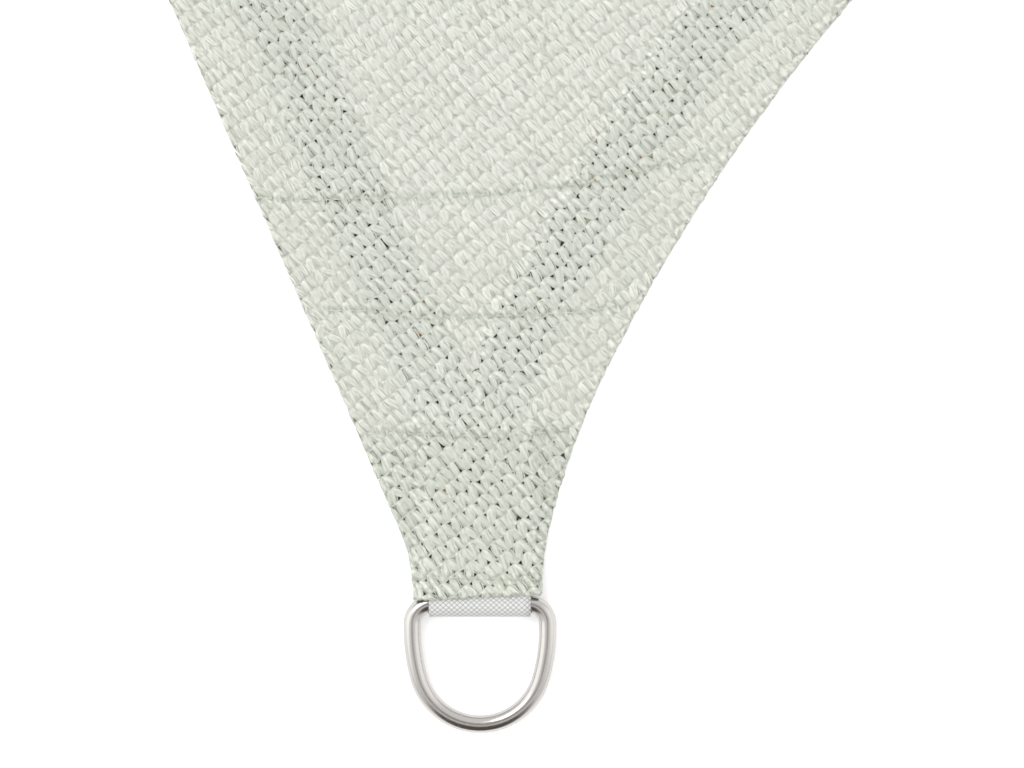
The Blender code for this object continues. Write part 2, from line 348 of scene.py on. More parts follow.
def knit_group():
    """The knit over the flat cloth where no yarns are modelled, in step with those that are."""
    group, given, out = new_group(
        "knit_pattern",
        [("Place", "NodeSocketVector")],
        [(label, "NodeSocketFloat") for label in ("Height", "Gap", "Shade", "Streak")],
    )

    def calc(operation, *values):
        return add_math(group, operation, *values)

    split = group.nodes.new("ShaderNodeSeparateXYZ")
    group.links.new(given.outputs["Place"], split.inputs[0])
    x, y = split.outputs["X"], split.outputs["Y"]
    moved = []
    for (size, rate, sway, sway_rate, start), (ripple_size, rate_x, rate_y, ripple_start), crossed in WANDER:
        first, second = (y, x) if crossed else (x, y)
        swayed = calc("MULTIPLY_ADD", calc("SINE", calc("MULTIPLY", second, sway_rate)), sway, start)
        wave = calc("SINE", calc("MULTIPLY_ADD", first, rate, swayed))
        ripple = calc("MULTIPLY_ADD", x, rate_x, calc("MULTIPLY_ADD", y, rate_y, ripple_start))
        moved.append(calc("MULTIPLY_ADD", wave, size, calc("MULTIPLY", calc("SINE", ripple), ripple_size)))
    along = calc("DIVIDE", calc("SUBTRACT", x, moved[0]), COURSE)
    across = calc("DIVIDE", calc("SUBTRACT", y, moved[1]), RIB_PITCH)
    course, rib, share = calc("FLOOR", along), calc("FLOOR", across), calc("FRACT", across)
    side = calc("MULTIPLY_ADD", calc("FLOORED_MODULO", course, 2.0), -2.0, 1.0)
    lean = calc("MULTIPLY", calc("SUBTRACT", share, 0.5), side)
    offset = calc("MULTIPLY_ADD", lean, -CROSS_LEAN / COURSE, calc("SUBTRACT", calc("FRACT", along), 0.5))
    crown = calc("MULTIPLY", calc("MULTIPLY", share, 4.0), calc("SUBTRACT", 1.0, share))
    crown = calc("POWER", crown, 0.6)
    half = calc("MULTIPLY_ADD", crown, (TAPE_MIDDLE - TAPE_END) / 2 / COURSE, 0.94 * TAPE_END / 2 / COURSE)
    reach = calc("DIVIDE", calc("ABSOLUTE", offset), half)
    gap = add_range(group, reach, 0.98, 1.10)
    cell = group.nodes.new("ShaderNodeCombineXYZ")
    streak_x = calc("MULTIPLY_ADD", offset, COURSE * STREAK_RATE, calc("MULTIPLY", course, 7.3))
    streak_y = calc("MULTIPLY_ADD", rib, 5.7, calc("MULTIPLY", share, 0.9))
    group.links.new(streak_x, cell.inputs["X"])
    group.links.new(streak_y, cell.inputs["Y"])
    streak = add_noise(group, cell.outputs[0], 1.0, 2.0)
    rounded = calc("MULTIPLY_ADD", calc("MULTIPLY", reach, reach), -0.6, 1.0)
    height = calc("MULTIPLY", rounded, calc("MULTIPLY_ADD", crown, 0.75, 0.25))
    height = calc("MULTIPLY_ADD", streak, 0.35, height)
    # Shade is painted shade: darker towards a tape's edges and where it is pinched at the ribs.
    between = add_range(group, reach, 0.62, 1.02, 0.0, 0.55)
    shade = calc("MAXIMUM", between, add_range(group, crown, 0.25, 0.80, 0.60, 0.0))
    for label, value in (("Height", height), ("Gap", gap), ("Shade", shade), ("Streak", streak)):
        group.links.new(value, out.inputs[label])
    return group


def object_place(tree):
    return tree.nodes.new("ShaderNodeTexCoord").outputs["Object"]


def bump_into(tree, shader, height, strength, distance):
    bump = tree.nodes.new("ShaderNodeBump")
    bump.inputs["Strength"].default_value = strength
    bump.inputs["Distance"].default_value = distance
    tree.links.new(height, bump.inputs["Height"])
    tree.links.new(bump.outputs["Normal"], shader.inputs["Normal"])


def knit_sheet_material(zones, gaps, pattern):
    """The cloth away from the modelled yarns, with painted shade between its yarns and in its painted gaps.
    """
    made, tree, shader = new_material("knitted_cloth")
    place = object_place(tree)
    zone = place_group(tree, zones, Edge=add_attribute(tree, "edge"), Tail=add_attribute(tree, "tail"))
    knit = place_group(tree, pattern, Place=place)
    through = place_group(tree, gaps, Place=place, Doubled=zone["Doubled"])
    cloud = add_range(tree, add_noise(tree, place, 9.0, 3.0), 0.3, 0.7, 0.0, 0.22)
    # Painted shade: the whole sheet is darkened a fifth of the way to SHEET_SHADE, as the shade the modelled
    # yarns cast among themselves.
    colour = add_mix(tree, 0.20, zone["Colour"], SHEET_SHADE)
    colour = add_mix(tree, cloud, colour, TAIL)
    # Dark streaks: the tapes' streaky tone, partly painted shade between strands.
    colour = add_mix(tree, add_range(tree, knit["Streak"], 0.45, 0.62, 0.0, 0.80), colour, STREAK_DARK)
    # Painted shade between the yarns that aren't modelled.
    colour = add_mix(tree, knit["Shade"], colour, SHEET_SHADE)
    # Where the knit opens, the gap colours are painted in, their painted shade included.
    colour = add_mix(tree, knit["Gap"], colour, through["Colour"])
    tree.links.new(colour, shader.inputs["Base Color"])
    shader.inputs["Roughness"].default_value = 0.5
    bump_into(tree, shader, knit["Height"], 1.0, 0.0007)
    return made


def backing_material(zones, gaps):
    """The layer under the modelled yarns, coloured as what shows through their gaps: pale on single cloth,
    with painted shade where the cloth is doubled.
    """
    made, tree, shader = new_material("knit_backing")
    zone = place_group(tree, zones, Edge=add_attribute(tree, "edge"), Tail=add_attribute(tree, "tail"))
    through = place_group(tree, gaps, Place=object_place(tree), Doubled=zone["Doubled"])
    tree.links.new(through["Colour"], shader.inputs["Base Color"])
    shader.inputs["Roughness"].default_value = 0.9
    return made


def yarn_material(name, zones, own, share):
    """Flat plastic tape split into fine strands that run along it. own is mixed in by share."""
    made, tree, shader = new_material(name)
    place = object_place(tree)
    zone = place_group(tree, zones, Edge=add_attribute(tree, "edge"), Tail=add_attribute(tree, "tail"))
    tone, across = add_attribute(tree, "tone"), add_attribute(tree, "across")
    cloud = add_range(tree, add_noise(tree, place, 35.0, 3.0), 0.35, 0.65, -0.5, 0.5)
    shade = add_math(tree, "MULTIPLY_ADD", cloud, 0.35, tone)
    streak_place = tree.nodes.new("ShaderNodeCombineXYZ")
    tree.links.new(add_math(tree, "MULTIPLY", across, STREAK_RATE), streak_place.inputs["X"])
    tree.links.new(add_math(tree, "MULTIPLY", tone, 37.0), streak_place.inputs["Y"])
    streak = add_noise(tree, streak_place.outputs[0], 1.0, 2.0)
    colour = add_mix(tree, add_range(tree, shade, 0.0, 1.2, 0.0, 0.22), zone["Colour"], STREAK_PALE)
    # Dark streaks: the tape's streaky tone, partly painted shade between its strands.
    colour = add_mix(tree, add_range(tree, streak, 0.50, 0.68, 0.0, 0.45), colour, STREAK_DARK)
    colour = add_mix(tree, share, colour, own)
    # Painted shade in the sewn lines' grooves: the yarns there are darkened towards STREAK_DARK.
    colour = add_mix(tree, add_math(tree, "MULTIPLY", add_attribute(tree, "sewn"), 0.50), colour, STREAK_DARK)
    tree.links.new(colour, shader.inputs["Base Color"])
    tree.links.new(add_range(tree, streak, 0.3, 0.7, 0.26, 0.45), shader.inputs["Roughness"])
    bump_into(tree, shader, streak, 0.6, 0.00018)
    return made


def thread_material():
    made, tree, shader = new_material("sewing_thread")
    fine = add_noise(tree, object_place(tree), 1800.0, 1.0)
    colour = add_mix(tree, fine, (0.50, 0.54, 0.45), (0.66, 0.68, 0.60))
    tree.links.new(colour, shader.inputs["Base Color"])
    shader.inputs["Roughness"].default_value = 0.55
    return made


def webbing_material():
    """Close white weave, on the webbing's own measures, with painted shade in the weave's hollows."""
    made, tree, shader = new_material("white_webbing")
    run = add_math(tree, "MULTIPLY", add_attribute(tree, "run"), math.pi / WEAVE)
    over = add_math(tree, "MULTIPLY", add_attribute(tree, "across"), math.pi / WEAVE)
    first = add_math(tree, "SINE", add_math(tree, "MULTIPLY_ADD", run, 1.2, over))
    back = add_math(tree, "MULTIPLY", over, -1.0)
    second = add_math(tree, "SINE", add_math(tree, "MULTIPLY_ADD", run, 1.2, back))
    height = add_math(tree, "ABSOLUTE", add_math(tree, "MULTIPLY", first, second))
    # Painted shade: the weave is coloured darker where it dips between threads.
    colour = add_mix(tree, add_range(tree, height, 0.0, 0.45), (0.36, 0.36, 0.355), (0.66, 0.66, 0.65))
    tree.links.new(colour, shader.inputs["Base Color"])
    shader.inputs["Roughness"].default_value = 0.6
    bump_into(tree, shader, height, 0.8, 0.0003)
    return made


def ring_material():
    """Stainless wire, drawn and lightly polished."""
    made, tree, shader = new_material("stainless_wire")
    place = object_place(tree)
    drawn = add_noise(tree, place, 700.0, 3.0)
    smears = add_noise(tree, place, 55.0, 2.0)
    colour = add_mix(tree, smears, (0.55, 0.53, 0.51), (0.47, 0.45, 0.43))
    tree.links.new(colour, shader.inputs["Base Color"])
    shader.inputs["Metallic"].default_value = 1.0
    tree.links.new(add_range(tree, drawn, 0.3, 0.7, 0.15, 0.24), shader.inputs["Roughness"])
    bump_into(tree, shader, drawn, 0.05, 0.00005)
    return made


# ---------------------------------------------------------------- shapes


def finished(name, mesh, materials, node=None):
    """An object at the origin that rides on the sail's one body."""
    made = bpy.data.objects.new(name, mesh)
    bpy.context.scene.collection.objects.link(made)
    for finish in materials:
        mesh.materials.append(finish)
    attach(made, "root")
    if node:
        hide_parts(node)
    return made


def mesh_from(bm, name):
    mesh = bpy.data.meshes.new(name)
    bm.to_mesh(mesh)
    bm.free()
    return mesh


def merged_cloth():
    bm = bmesh.new()
    bm.from_mesh(NODES["sail_cloth"].data)
    bmesh.ops.remove_doubles(bm, verts=bm.verts, dist=2e-6)
    bm.normal_update()
    return bm


def upper_side(bm):
    """The faces of the cloth's upper side: those that join up with the highest of them."""
    first = max(bm.faces, key=lambda face: face.calc_center_median().z * (face.normal.z > 0.5))
    found, waiting = {first}, [first]
    while waiting:
        for edge in waiting.pop().edges:
            new = [face for face in edge.link_faces if face.normal.z > 0.5 and face not in found]
            found.update(new)
            waiting.extend(new)
    return found


def outline_segments(bm):
    """The cloth's outer edge, seen from above, as an array of segments with the cloth on the left."""
    rows = []
    side = upper_side(bm)
    for edge in bm.edges:
        upper = [face for face in edge.link_faces if face in side]
        if len(edge.link_faces) == 2 and len(upper) == 1:
            first, second = (vert.co.to_2d() for vert in edge.verts)
            inside = upper[0].calc_center_median().to_2d() - first
            run = second - first
            if run.x * inside.y - run.y * inside.x < 0:
                first, second = second, first
            rows.append((*first, *second))
    return np.array(rows)


def edge_distances(points, segments):
    """(distance in from the edge, negative outside; nearest point on the edge; the way in) for each point."""
    distance = np.full(len(points), np.inf)
    foot = np.zeros((len(points), 2))
    inward = np.zeros((len(points), 2))
    signed = np.zeros(len(points))
    for x0, y0, x1, y1 in segments:
        start, run = np.array((x0, y0)), np.array((x1 - x0, y1 - y0))
        length = np.hypot(*run)
        share = np.clip((points - start) @ run / length**2, 0, 1)
        near = start + share[:, None] * run
        gap = np.hypot(*(points - near).T)
        closer = gap < distance
        normal = np.array((-run[1], run[0])) / length
        side = (points - start) @ normal
        distance[closer] = gap[closer]
        foot[closer] = near[closer]
        inward[closer] = normal
        signed[closer] = np.sign(side[closer])
    return distance * signed, foot, inward


def in_tail(points, corner):
    """(along, across) of each point in a corner's own frame."""
    back = np.array(FRAMES[corner].inverted())
    return points @ back[:2, :2].T + back[:2, 3]


def tail_share(points):
    """1 where both hems lie over each other in a tail, 0 on the open cloth."""
    share = np.zeros(len(points))
    for corner in range(CORNERS):
        along, across = in_tail(points, corner).T
        share = np.maximum(share, np.clip((0.066 - along - 0.25 * np.abs(across)) / 0.008, 0, 1))
    return share


def drawn_in(points):
    """How much corner 0's sewn lines press the yarns flat: 1 on a line, 0 away from all of them."""
    local = in_tail(points, 0)
    drop = np.zeros(len(points))
    for line in SEWN_LINES:
        for (a0, c0), (a1, c1) in zip(line, line[1:]):
            start, run = np.array((a0, c0)), np.array((a1 - a0, c1 - c0))
            share = np.clip((local - start) @ run / (run @ run), 0, 1)
            gap = np.hypot(*(local - start - share[:, None] * run).T)
            drop = np.maximum(drop, np.exp(-((gap / SEAM_HALF_WIDTH) ** 2)))
    return drop


def creased(points):
    """How far the cloth's creases lift each point."""
    lift = np.zeros(len(points))
    for x, y, heading, half_length, half_width, bend, height in CREASES:
        way = np.array((math.cos(math.radians(heading)), math.sin(math.radians(heading))))
        along = (points - (x, y)) @ way
        across = (points - (x, y)) @ (-way[1], way[0]) - bend * along**2
        lift += height * np.exp(-((along / half_length) ** 2) - (across / half_width) ** 2)
    start, end = CREASE_FREE
    for corner in range(CORNERS):
        lift *= np.clip((in_tail(points, corner)[:, 0] - start) / (end - start), 0, 1)
    return lift


def store(mesh, name, values):
    attribute = mesh.attributes.new(name, "FLOAT", "POINT")
    attribute.data.foreach_set("value", np.asarray(values, dtype=np.float32))


def sheet(segments, materials):
    """The cloth as one thin sheet. Under the modelled yarns its upper side is let down to carry them."""
    bm = merged_cloth()
    along = FRAMES[0].to_3x3() @ Vector((1, 0, 0))
    for reach in (KNIT_REACH - KNIT_FADE, KNIT_REACH - 0.001, KNIT_REACH):
        line = FRAMES[0] @ Vector((reach, 0, 0))
        geometry = bm.verts[:] + bm.edges[:] + bm.faces[:]
        bmesh.ops.bisect_plane(bm, geom=geometry, plane_co=line, plane_no=along)
    for _ in range(SHEET_SPLITS):
        long = [edge for edge in bm.edges if edge.calc_length() > SHEET_EDGE]
        bmesh.ops.subdivide_edges(bm, edges=long, cuts=1)
        bmesh.ops.triangulate(bm, faces=bm.faces[:])
    bm.normal_update()
    upper = {vert for face in upper_side(bm) for vert in face.verts}
    for face in bm.faces:
        centre = in_tail(np.array([face.calc_center_median()[:2]]), 0)
        face.material_index = int(centre[0, 0] < KNIT_REACH - KNIT_FADE and face.normal.z > -0.5)
        face.smooth = abs(face.normal.z) > 0.5
    verts = list(bm.verts)
    plan = np.array([vert.co[:2] for vert in verts])
    under_yarns = in_tail(plan, 0)[:, 0] < KNIT_REACH - 0.0005
    inset, _, inward = edge_distances(plan, segments)
    for vert, covered, distance, way, lift in zip(verts, under_yarns, inset, inward, creased(plan)):
        vert.co.z += lift
        if covered and abs(distance) < 1e-5:
            vert.co.xy += Vector(way) * BACKING_INSET
        if covered and vert in upper:
            vert.co.z -= YARN_DEPTH
    mesh = mesh_from(bm, "sail_sheet")
    points = np.array([vert.co for vert in mesh.vertices])[:, :2]
    store(mesh, "edge", edge_distances(points, segments)[0])
    store(mesh, "tail", tail_share(points))
    return finished("sail_sheet", mesh, materials, "sail_cloth")


def swept(bm, stations):
    """A closed strand with one ring of points per station, each ring given as points in order."""
    rings = [[bm.verts.new(point) for point in station] for station in stations]
    loops = []
    for ring in rings:
        loops.append([bm.edges.new(pair) for pair in zip(ring, ring[1:] + ring[:1])])
    for first, second in zip(loops, loops[1:]):
        bmesh.ops.bridge_loops(bm, edges=first + second)
    bmesh.ops.contextual_create(bm, geom=loops[0])
    bmesh.ops.contextual_create(bm, geom=loops[-1])


def shape_of(bm, across):
    """(points, triangles, place across the strand) of a small shape that is repeated."""
    bmesh.ops.recalc_face_normals(bm, faces=bm.faces)
    bmesh.ops.triangulate(bm, faces=bm.faces)
    bm.verts.index_update()
    verts = np.array([vert.co for vert in bm.verts])
    faces = np.array([[vert.index for vert in face.verts] for face in bm.faces])
    bm.free()
    return verts, faces, np.array(across)


def crossing(random, direction, loose):
    """A tape crossing from one rib to the next: a flat soft band under strands that lie beside each other.

    loose is 0 where the strands close up and 1 where the tape has narrowed and they stand apart.
    """
    bm = bmesh.new()
    across = []
    lean = direction * CROSS_LEAN * random.uniform(0.5, 1.5)
    wide = random.uniform(0.94, 1.06)
    end = TAPE_END * (1 - 0.20 * loose)
    band = 0.95 - 0.25 * loose
    tilt = random.uniform(-0.15, 0.15)
    high = TAPE_HIGH * random.uniform(0.8, 1.2)

    def on_tape(share, a, lift):
        crown = max(0.0, 4 * share * (1 - share)) ** 0.6
        half = wide * (end + (TAPE_MIDDLE - end) * crown) / 2
        top = TAPE_LOW + (high - TAPE_LOW) * crown
        return lean * (share - 0.5) + half * a, RIB_PITCH * share, top * (1 - 0.55 * a * a + tilt * a) + lift

    stations = []
    for share in (-0.05, 0.14, 0.5, 0.86, 1.05):
        ring = [on_tape(share, a, 0.0) for a in (-band, 0.0, band)]
        middle = ring[1]
        ring.append((middle[0], middle[1], -0.0001))
        across.extend(point[0] for point in ring)
        stations.append(ring)
    swept(bm, stations)
    for strand in range(STRANDS):
        at = (2 * strand + 1) / STRANDS - 1 + random.uniform(-0.10, 0.10)
        drift = random.uniform(-0.40, 0.40)
        width = 2.1 / STRANDS * random.uniform(0.65, 1.20) * (1 - 0.15 * loose)
        ridge = random.uniform(-0.6, 0.6)
        lift = random.uniform(0.00004, 0.00017)
        own_streaks = random.uniform(0.01, 0.30)
        stations = []
        for share in (random.uniform(-0.02, 0.06), 0.32, 0.68, random.uniform(0.94, 1.02)):
            a = at + drift * (share - 0.5)
            ring = [
                on_tape(share, a - width / 2, 0.0),
                on_tape(share, a + ridge * width / 2, lift),
                on_tape(share, a + width / 2, 0.0),
            ]
            across.extend(point[0] + own_streaks for point in ring)
            stations.append(ring)
        swept(bm, stations)
    return shape_of(bm, across)


def chain_link(random):
    """One link of a rib: two legs that open from the last link's head and close over the next one."""
    bm = bmesh.new()
    across = []
    for side in (-1, 1):
        skew = random.uniform(-0.08, 0.08) * 1e-3
        legs = ((-0.20, 0.06, 0.06), (0.15, 0.20, 0.16), (0.60, 0.22, 0.18), (1.05, 0.06, 0.24))
        stations = []
        for x, y, z in legs:
            x, y, z = x * COURSE, side * y * 1e-3 + skew, z * 1e-3
            leg = 0.00021
            stations.append(((x, y + leg, z), (x, y, z + 0.00017), (x, y - leg, z), (x, y, z - 0.00015)))
            across.extend((leg, 0.0, -leg, 0.0))
        swept(bm, stations)
    return shape_of(bm, across)


def knot(random):
    """The loop that shows as a bright bead on a rib; its pale colour is partly a painted highlight."""
    bm = bmesh.new()
    size = [0.5 * random.uniform(0.75, 1.15) * side for side in (0.00075, 0.00060, 0.00045)]
    place = Matrix.Translation((0, random.uniform(-0.0003, 0.0003), 0.00032))
    bead = place @ Matrix.Diagonal((*size, 1.0))
    bmesh.ops.create_uvsphere(bm, u_segments=7, v_segments=5, radius=1.0, matrix=bead)
    return shape_of(bm, [0.0] * len(bm.verts))


def wander(points):
    """The knit's slow unevenness: how far each point has moved in the cloth's plane."""
    x, y = points.T
    moved = []
    for (size, rate, sway, sway_rate, start), (ripple_size, rate_x, rate_y, ripple_start), crossed in WANDER:
        first, second = (y, x) if crossed else (x, y)
        wave = size * np.sin(rate * first + start + sway * np.sin(sway_rate * second))
        moved.append(wave + ripple_size * np.sin(rate_x * x + rate_y * y + ripple_start))
    return np.stack(moved, axis=1)


class Yarns:
    """Many copies of small shapes gathered into one mesh that follows the cloth."""

    def __init__(self, surface, segments):
        self.surface, self.segments = surface, segments
        self.verts, self.faces, self.tones, self.across, self.count = [], [], [], [], 0

    def add(self, shape, places, turns, widths, tones):
        verts, faces, across = shape
        x = verts[None, :, 0] * widths[:, None]
        y = verts[None, :, 1] - RIB_PITCH / 2
        cos, sin = np.cos(turns)[:, None], np.sin(turns)[:, None]
        moved = np.empty((len(places), len(verts), 3))
        moved[..., 0] = places[:, 0, None] + x * cos - y * sin
        moved[..., 1] = places[:, 1, None] + RIB_PITCH / 2 + x * sin + y * cos
        moved[..., 2] = verts[None, :, 2]
        starts = self.count + len(verts) * np.arange(len(places))
        self.verts.append(moved.reshape(-1, 3))
        self.faces.append((faces[None] + starts[:, None, None]).reshape(-1, 3))
        self.tones.append(np.repeat(tones, len(verts)))
        self.across.append(np.tile(across, len(places)))
        self.count += len(places) * len(verts)

    def mesh(self, name):
        verts = np.concatenate(self.verts)
        plan = verts[:, :2] + wander(verts[:, :2])
        height = verts[:, 2]
        inset, foot, inward = edge_distances(plan, self.segments)
        turn = np.clip((FOLD_RADIUS + EDGE_INSET - inset) / FOLD_RADIUS, 0, 2.9)
        folded = turn > 0
        axis = foot + (FOLD_RADIUS + EDGE_INSET) * inward
        reach = FOLD_RADIUS + height
        on_cloth = np.where(folded[:, None], axis, plan)
        plan[folded] = (axis - (reach * np.sin(turn))[:, None] * inward)[folded]
        level = np.array([self.surface(x, y) for x, y in on_cloth])
        sewn = drawn_in(on_cloth)
        height = height * (1 - SEAM_FLATTENING * sewn)
        height = height * (1 + EDGE_PUFF * np.clip((0.0025 - inset) / 0.0020, 0, 1))
        reach = FOLD_RADIUS + height
        z = np.where(folded, level - FOLD_RADIUS + reach * np.cos(turn), level + height)
        mesh = bpy.data.meshes.new(name)
        placed = np.column_stack((plan, np.maximum(z, 0.0)))
        mesh.from_pydata(placed.tolist(), [], np.concatenate(self.faces).tolist())
        mesh.shade_smooth()
        store(mesh, "tone", np.concatenate(self.tones))
        store(mesh, "across", np.concatenate(self.across))
        store(mesh, "edge", np.maximum(inset, 0))
        store(mesh, "tail", tail_share(plan))
        store(mesh, "sewn", sewn)
        return mesh


def surface_height():
    """Height of the cloth's upper side over any point, less the yarns' depth."""
    tree = BVHTree.FromBMesh(merged_cloth())
    down = Vector((0, 0, -1))

    def height(x, y):
        hit = tree.ray_cast(Vector((x, y, 1.0)), down)[0]
        return (hit.z if hit else 0.0) - YARN_DEPTH

    return height


def lattice(segments, random):
    """Where the knit's cells lie in corner 0: (course, rib) numbers, and how doubled the cloth is there."""
    corner = np.array([FRAMES[0] @ Vector((*reach, 0)) for reach in KNIT_CORNERS])
    low, high = corner.min(0) - KNIT_MARGIN, corner.max(0) + KNIT_MARGIN
    courses = np.arange(math.floor(low[0] / COURSE), math.ceil(high[0] / COURSE))
    ribs = np.arange(math.floor(low[1] / RIB_PITCH), math.ceil(high[1] / RIB_PITCH))
    grid = np.stack(np.meshgrid(courses, ribs, indexing="ij"), axis=-1).reshape(-1, 2)
    centres = (grid + 0.5) * (COURSE, RIB_PITCH)
    moved = centres + wander(centres)
    near = in_tail(moved, 0)[:, 0] < KNIT_REACH
    grid, moved = grid[near], moved[near]
    inset = edge_distances(moved, segments)[0]
    tail = tail_share(moved)
    hem = np.clip((inset - 0.016) / 0.006, 0, 1) * np.clip((0.0435 - inset) / 0.002, 0, 1)
    ending = (in_tail(moved, 0)[:, 0] - KNIT_REACH + KNIT_FADE) / KNIT_FADE
    kept = (inset > -KNIT_OVERHANG) & (random.random(len(moved)) > ending)
    return grid[kept], np.maximum(hem, tail)[kept]


def knit(segments, tape_finish, chain_finish, knot_finish):
    """The modelled yarns of corner 0, in joined meshes."""
    random = np.random.default_rng(SEED)
    surface = surface_height()
    cells, doubled = lattice(segments, random)
    pick = random.integers(0, VARIANTS, len(cells))
    places = (cells + (0.5, 0.0)) * (COURSE, RIB_PITCH) + random.normal(0, 0.00017, (len(cells), 2))
    turns = random.normal(0, 0.09, len(cells))
    widths = random.normal(1.0, 0.05, len(cells))
    tones = random.random(len(cells))
    still = np.zeros(len(cells))
    is_loose = random.random(len(cells)) < 0.04 + 0.9 * doubled
    upper_half = in_tail(places, 0)[:, 0] > KNIT_REACH * KNIT_HALVES
    for name, parity, half in PIECES:
        yarns = Yarns(surface, segments)
        own = (cells[:, 0] % 2 == parity) & (upper_half == half)
        for variant in range(VARIANTS):
            for loose in (False, True):
                shape = crossing(random, 1 - 2 * parity, float(loose))
                chosen = (pick == variant) & (is_loose == loose) & own
                yarns.add(shape, places[chosen], turns[chosen], widths[chosen], tones[chosen])
        finished(name, yarns.mesh(name), [tape_finish])
    chains, knots = Yarns(surface, segments), Yarns(surface, segments)
    for variant in range(VARIANTS):
        chosen = pick == variant
        starts = places[chosen] - (COURSE / 2, RIB_PITCH / 2) + (0, RIB_PITCH / 2)
        chains.add(chain_link(random), starts, still[chosen], still[chosen] + 1, tones[chosen])
        chosen &= cells[:, 0] % 2 == 0
        chosen &= random.random(len(cells)) < KNOT_SHARE
        knots.add(knot(random), places[chosen], still[chosen], still[chosen] + 1, tones[chosen])
    finished("rib_chains", chains.mesh("rib_chains"), [chain_finish])
    finished("rib_knots", knots.mesh("rib_knots"), [knot_finish])


# ---------------------------------------------------------------- fittings


def wire_ring():
    """The wire, bent round from the middle of the bar and closed on itself, in the plane Z = 0."""
    bm = bmesh.new()
    facing = Matrix.Rotation(math.pi / 2, 4, "Y")
    section = bmesh.ops.create_circle(bm, segments=WIRE_SIDES, radius=WIRE / 2, matrix=facing)["verts"]
    edges = list({edge for vert in section for edge in vert.link_edges})
    place, heading = Vector((0.0, 0.0, 0.0)), 0.0
    for run, radius, turn_degrees, pieces in (*BAR_TO_BOW, BOW, *BAR_TO_BOW[::-1]):
        ahead = Vector((math.cos(heading), math.sin(heading), 0.0))
        if run:
            made = bmesh.ops.extrude_edge_only(bm, edges=edges)["geom"]
            moved = [item for item in made if isinstance(item, bmesh.types.BMVert)]
            bmesh.ops.translate(bm, verts=moved, vec=run * ahead)
            place += run * ahead
        else:
            turn = math.radians(turn_degrees)
            centre = place + radius * Vector((-ahead.y, ahead.x, 0.0))
            made = bmesh.ops.spin(bm, geom=edges, cent=centre, axis=(0, 0, 1), angle=turn, steps=pieces)
            made = made["geom_last"]
            place = centre + Matrix.Rotation(turn, 3, "Z") @ (place - centre)
            heading += turn
        edges = [item for item in made if isinstance(item, bmesh.types.BMEdge)]
    bmesh.ops.remove_doubles(bm, verts=bm.verts, dist=2e-5)
    bmesh.ops.recalc_face_normals(bm, faces=bm.faces)
    return bm


def d_ring(corner, finish):
    bm = wire_ring()
    droop = math.asin((BAR_HEIGHT - WIRE / 2) / BOW_DEPTH)
    lie = Matrix.Translation((BAR_AT, 0.0, BAR_HEIGHT)) @ Matrix.Rotation(-droop, 4, "Y")
    bm.transform(FRAMES[corner] @ lie @ Matrix.Rotation(math.pi / 2, 4, "Z"))
    mesh = mesh_from(bm, f"wire_ring_{corner}")
    mesh.shade_smooth()
    finished(f"wire_ring_{corner}", mesh, [finish], f"d_ring_{corner}")


def tab_route(top_of):
    """The webbing's middle line from the lower end, round the bar and back over it, as (along, height)."""
    radius = WIRE / 2 + BAR_CLEARANCE + WEBBING / 2
    lower = CLOTH_OVER_TAB + WEBBING / 2
    on_floor = WEBBING / 2
    route = [(TAB_REACH, lower), (0.038, lower), (0.021, lower)]
    start, end = TAB_LIFT
    for share in np.linspace(1, 0, 9):
        eased = share * share * (3 - 2 * share)
        route.append((start + share * (end - start), on_floor + eased * (lower - on_floor)))
    for share in np.linspace(0, 1, ROUND_BAR_PIECES + 1):
        turn = -math.pi / 2 - math.pi * share
        route.append((BAR_AT + radius * math.cos(turn), BAR_HEIGHT + radius * math.sin(turn)))
    for along in (0.0, 0.002, 0.004, 0.008, 0.012, 0.016, 0.020, 0.038, TAB_REACH):
        route.append((along, top_of(along) - CLOTH_OVER_TAB - WEBBING / 2))
    return route


def webbing_tab(corner, top_of, finish):
    """Flat webbing, on its own measures along and across."""
    bm = bmesh.new()
    run, across = (bm.verts.layers.float.new(name) for name in ("run", "across"))
    route = [Vector((along, 0.0, height)) for along, height in tab_route(top_of)]
    verts, length = [], 0.0
    for i, point in enumerate(route):
        length += (point - route[i - 1]).length if i else 0.0
        vert = bm.verts.new(point + Vector((0.0, -WEBBING_WIDTH / 2, 0.0)))
        vert[run] = length
        verts.append(vert)
    edges = [bm.edges.new(pair) for pair in zip(verts, verts[1:])]
    for _ in range(WEBBING_COLUMNS):
        made = bmesh.ops.extrude_edge_only(bm, edges=edges)["geom"]
        moved = [item for item in made if isinstance(item, bmesh.types.BMVert)]
        bmesh.ops.translate(bm, verts=moved, vec=(0.0, WEBBING_WIDTH / WEBBING_COLUMNS, 0.0))
        edges = [item for item in made if isinstance(item, bmesh.types.BMEdge)]
    for vert in bm.verts:
        vert[across] = vert.co.y
    bmesh.ops.recalc_face_normals(bm, faces=bm.faces)
    bm.transform(FRAMES[corner])
    mesh = mesh_from(bm, f"webbing_{corner}")
    mesh.shade_smooth()
    made = finished(f"webbing_{corner}", mesh, [finish], f"webbing_tab_{corner}")
    wall = made.modifiers.new("thickness", "SOLIDIFY")
    wall.thickness = WEBBING
    wall.offset = 0.0
    wall.use_even_offset = True


